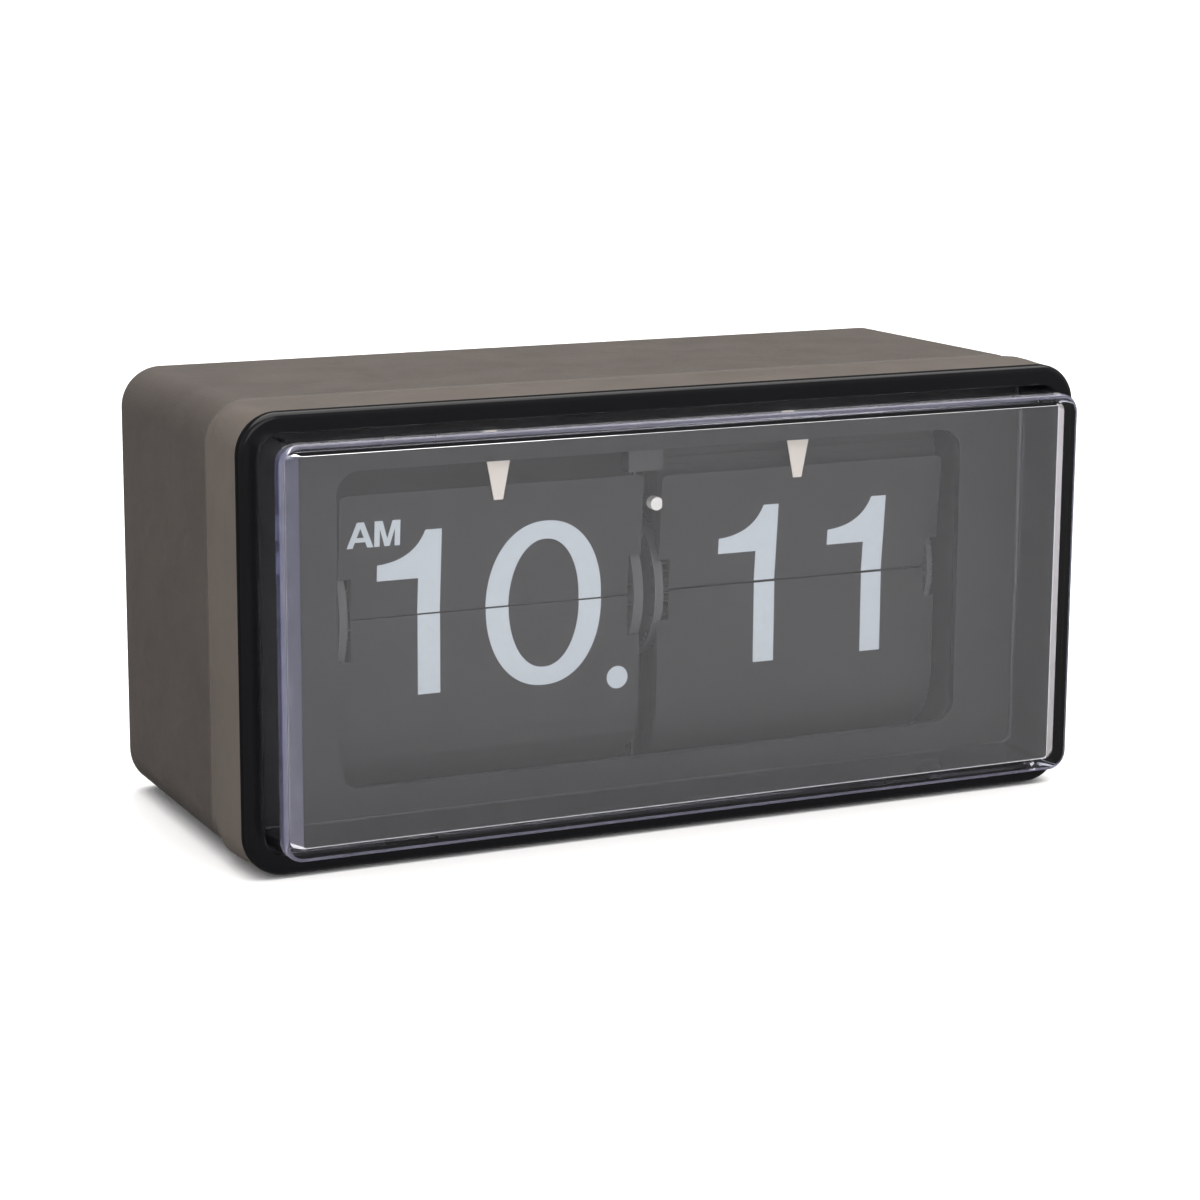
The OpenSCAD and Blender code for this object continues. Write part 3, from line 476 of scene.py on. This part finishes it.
def flat_mesh(glyphs):
    """One flat bmesh of filled outlines; x and z are kept as x and y."""
    bm = bmesh.new()
    for loops in glyphs:
        edges = []
        for loop in loops:
            verts = [bm.verts.new((x, z, 0)) for x, z in loop]
            edges += [bm.edges.new((verts[i], verts[(i + 1) % len(verts)])) for i in range(len(verts))]
        bmesh.ops.triangle_fill(bm, edges=edges, use_beauty=True, use_dissolve=False)
    return bm


# Thickness of the print, half the thickness of a leaf of each drum, and how far prints keep from the
# split, in millimetres.
INK = 0.01
LEAF_SKIN = {"minute": 0.041, "hour": 0.126}
PRINT_GAP = {"minute": 0.28, "hour": 0.18}


def print_half(name, glyphs, material, body, split, keep_upper, hinge, along, out, hinge_reach):
    """Prints the upper or lower half of some glyphs on a leaf.
    hinge is the leaf's pin (y, z) in mm, along its direction away from the pin, out its printed side's
    normal and hinge_reach how far the pin lies from the split line."""
    drum = body.split("_")[0]
    bm = flat_mesh(glyphs)
    sign = 1 if keep_upper else -1
    bmesh.ops.bisect_plane(bm, geom=bm.verts[:] + bm.edges[:] + bm.faces[:],
                           plane_co=(0, split + sign * PRINT_GAP[drum], 0), plane_no=(0, sign, 0),
                           clear_inner=True)
    solid = bmesh.ops.extrude_face_region(bm, geom=bm.faces[:])
    lifted = {v for v in solid["geom"] if isinstance(v, bmesh.types.BMVert)}
    for v in bm.verts:
        s = sign * (v.co.y - split) - hinge_reach
        lift = LEAF_SKIN[drum] + (INK if v in lifted else 0.0)
        v.co = Vector((v.co.x, hinge[0] + along[0] * s + out[0] * lift,
                       hinge[1] + along[1] * s + out[1] * lift)) * MM
    bmesh.ops.recalc_face_normals(bm, faces=bm.faces)
    mesh = bpy.data.meshes.new(name)
    bm.to_mesh(mesh)
    bm.free()
    piece = link(name, mesh, material)
    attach(piece, body)


def heading(degrees):
    """Direction (y, z) at an angle measured from straight ahead, upwards."""
    return (-cos(radians(degrees)), sin(radians(degrees)))


def facing(degrees):
    """Normal (y, z) of the front side of something that points at an angle."""
    return (-sin(radians(degrees)), -cos(radians(degrees)))


def print_drum(drum, lean, step, shown, following, material):
    """Prints the shown numerals on the front pair of leaves, and the following ones on the pair that
    comes next."""
    axis = Vector(joints[drum + "_drum_turn"]["pos_m"]) / MM
    pin = Vector(joints[drum + "_flap_fall"]["pos_m"]) / MM
    radius = (pin - axis).length
    angle = degrees(atan2(pin.z - axis.z, axis.y - pin.y))

    def pin_at(a):
        return (axis.y + radius * heading(a)[0], axis.z + radius * heading(a)[1])

    below = pin_at(angle - step)
    split = (pin.z + below[1]) / 2
    reach = pin.z - split
    drum_body, flap_body = drum + "_drum", drum + "_flap"
    front, behind = 90 - lean, 90 + step - lean
    back = tuple(-c for c in facing(front))
    print_half(drum + "_print_top", shown, material, flap_body, split, True, pin_at(angle), heading(front),
               facing(front), reach)
    print_half(drum + "_print_low", shown, material, drum_body, split, False, below,
               (0, -1), (-1, 0), reach)
    print_half(drum + "_print_next_low", following, material, flap_body, split, False, pin_at(angle),
               heading(front), back, reach)
    print_half(drum + "_print_next_top", following, material, drum_body, split, True, pin_at(angle + step),
               heading(behind), facing(behind), reach)


def print_numerals(materials):
    ink = materials["leaf_print"]
    letters = [letter_a(-73.2, 67.9, 73.8), letter_m(-66.6, 67.9, 73.8)]
    foot = 32.6
    print_drum("hour", 4.5, 15, [one(-50.3, foot), zero(-24.4, foot), dot(-5.5, foot)] + letters,
               [one(-50.3, foot), one(-20.9, foot), dot(-5.5, foot)] + letters, ink)
    foot = 32.15
    print_drum("minute", 5, 6, [one(35.9, foot), one(65.2, foot)],
               [one(35.9, foot), two(44.5, foot)], ink)


# ---- stage and light ----

def make_stage():
    """A pale floor that curves up into a backdrop."""
    bm = bmesh.new()
    front, bend, radius, top, half_width, sink = -3.0, 0.9, 0.8, 3.0, 4.0, 0.0002
    profile = [(front, 0.0), (bend, 0.0)]
    profile += [(bend + radius * sin(radians(a)), radius - radius * cos(radians(a)))
                for a in range(10, 91, 10)]
    profile += [(bend + radius, top)]
    rows = [[bm.verts.new((x, y, z - sink)) for x in (-half_width, half_width)] for y, z in profile]
    for a, b in zip(rows, rows[1:]):
        bm.faces.new((a[0], a[1], b[1], b[0]))
    bmesh.ops.recalc_face_normals(bm, faces=bm.faces)
    for face in bm.faces:
        face.smooth = True
    mesh = bpy.data.meshes.new("backdrop")
    bm.to_mesh(mesh)
    bm.free()
    n = Nodes("backdrop_paper")
    n.link(n.mix(n.ramp(n.noise(1.2, 2.0), 0.0, 1.0), (0.90, 0.90, 0.90), (0.92, 0.92, 0.92)), "Base Color")
    n.set(Roughness=0.9, Specular_IOR_Level=0.1)
    stage = link("backdrop", mesh, n.material)
    stage.visible_glossy = False


def area_light(name, place, target, size, power, colour=(1, 1, 1)):
    data = bpy.data.lights.new(name, "AREA")
    data.shape = "RECTANGLE"
    data.size, data.size_y = size
    data.energy = power
    data.color = colour
    light = bpy.data.objects.new(name, data)
    light.location = place
    light.rotation_euler = (Vector(target) - Vector(place)).to_track_quat("-Z", "Y").to_euler()
    bpy.context.scene.collection.objects.link(light)


def make_light():
    world = bpy.data.worlds.new("studio")
    bpy.context.scene.world = world
    world.use_nodes = True
    tree = world.node_tree
    background = tree.nodes["Background"]
    place = tree.nodes.new("ShaderNodeTexCoord")
    height = tree.nodes.new("ShaderNodeSeparateXYZ")
    tree.links.new(place.outputs["Generated"], height.inputs[0])
    fall = tree.nodes.new("ShaderNodeValToRGB")
    fall.color_ramp.elements[0].position = 0.30
    fall.color_ramp.elements[0].color = (0.31, 0.31, 0.31, 1)
    fall.color_ramp.elements[1].position = 0.62
    fall.color_ramp.elements[1].color = (0.78, 0.78, 0.80, 1)
    lift = tree.nodes.new("ShaderNodeMath")
    lift.operation = "MULTIPLY_ADD"
    lift.inputs[1].default_value = 0.5
    lift.inputs[2].default_value = 0.5
    tree.links.new(height.outputs["Z"], lift.inputs[0])
    tree.links.new(lift.outputs[0], fall.inputs[0])
    # The low part of the room behind the clock is dark, so that the clear walls do not mirror it.
    behind = tree.nodes.new("ShaderNodeMapRange")
    behind.inputs["From Min"].default_value = 0.25
    behind.inputs["From Max"].default_value = 0.65
    behind.inputs["To Min"].default_value = 1.0
    behind.inputs["To Max"].default_value = 0.12
    tree.links.new(height.outputs["Y"], behind.inputs["Value"])
    shade = tree.nodes.new("ShaderNodeVectorMath")
    shade.operation = "SCALE"
    tree.links.new(fall.outputs["Color"], shade.inputs[0])
    tree.links.new(behind.outputs["Result"], shade.inputs["Scale"])
    tree.links.new(shade.outputs["Vector"], background.inputs["Color"])
    background.inputs["Strength"].default_value = 0.8
    area_light("overhead", (0.1, 0.1, 1.7), (0, 0, 0.05), (2.4, 2.4), 62.0, (1.0, 0.975, 0.945))
    area_light("front_fill", (-0.3, -1.9, 0.9), (0, 0, 0.05), (1.6, 1.0), 10.0)
    bpy.context.scene.view_settings.view_transform = "Standard"


# ---- assembly ----

make_camera()
materials = make_materials()
for node, piece in frame["nodes"].items():
    piece.data.materials.clear()
    piece.data.materials.append(materials[slot_of[node]])
make_cover(materials)
make_bezel(materials)
print_numerals(materials)
make_stage()
make_light()
